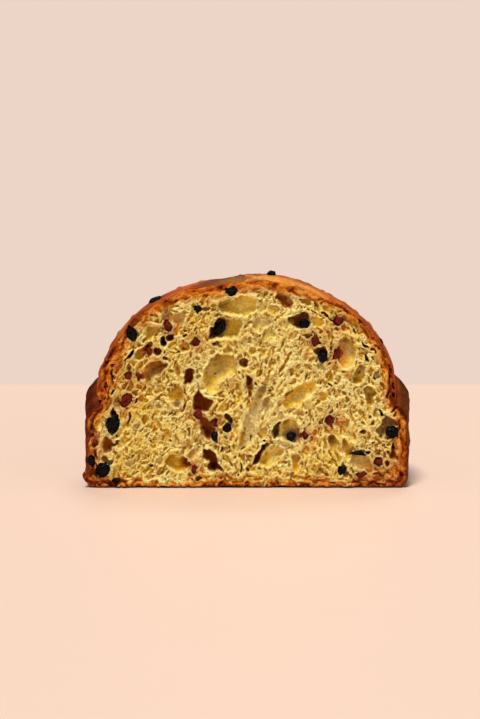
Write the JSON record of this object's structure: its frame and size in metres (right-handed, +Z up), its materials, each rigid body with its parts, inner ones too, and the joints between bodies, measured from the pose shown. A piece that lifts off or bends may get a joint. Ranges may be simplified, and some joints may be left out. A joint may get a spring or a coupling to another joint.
{
  "type": "half panettone loaf",
  "caption": "Half of a low panettone standing on its base: domed crust, shoulder crease, straight side wall and a flat cut face of open crumb with dried fruit.",
  "frame": {"origin": "under the middle of the whole model, on the plane of the base", "axes": "+Z up from the base to the dome, the cut face looks along -Y, +X is to the right of the cut face"},
  "size_m": [0.215, 0.1258, 0.1435],
  "materials": {
    "bread": "open yellow crumb inside a semi-gloss red-brown baked crust",
    "dark_fruit": "wrinkled near-black dried fruit skin with a soft gloss",
    "red_fruit": "wrinkled dark red dried fruit skin, moist and slightly translucent"
  },
  "bodies": {
    "root": {"cranberry_01": "red_fruit", "cranberry_02": "red_fruit", "cranberry_03": "red_fruit", "cranberry_04": "red_fruit", "cranberry_05": "red_fruit", "cranberry_06": "red_fruit", "cranberry_07": "red_fruit", "cranberry_08": "red_fruit", "cranberry_09": "red_fruit", "cranberry_10": "red_fruit", "cranberry_11": "red_fruit", "cranberry_12": "red_fruit", "cranberry_13": "red_fruit", "cranberry_14": "red_fruit", "cranberry_15": "red_fruit", "cranberry_16": "red_fruit", "cranberry_17": "red_fruit", "cranberry_18": "red_fruit", "crust_raisin_01": "dark_fruit", "crust_raisin_02": "dark_fruit", "crust_raisin_03": "dark_fruit", "half_loaf": "bread", "raisin_01": "dark_fruit", "raisin_02": "dark_fruit", "raisin_03": "dark_fruit", "raisin_04": "dark_fruit", "raisin_05": "dark_fruit", "raisin_06": "dark_fruit", "raisin_07": "dark_fruit", "raisin_08": "dark_fruit", "raisin_09": "dark_fruit", "raisin_10": "dark_fruit", "raisin_11": "dark_fruit", "raisin_12": "dark_fruit", "raisin_13": "dark_fruit", "raisin_14": "dark_fruit", "raisin_15": "dark_fruit", "raisin_16": "dark_fruit"}
  },
  "joints": []
}
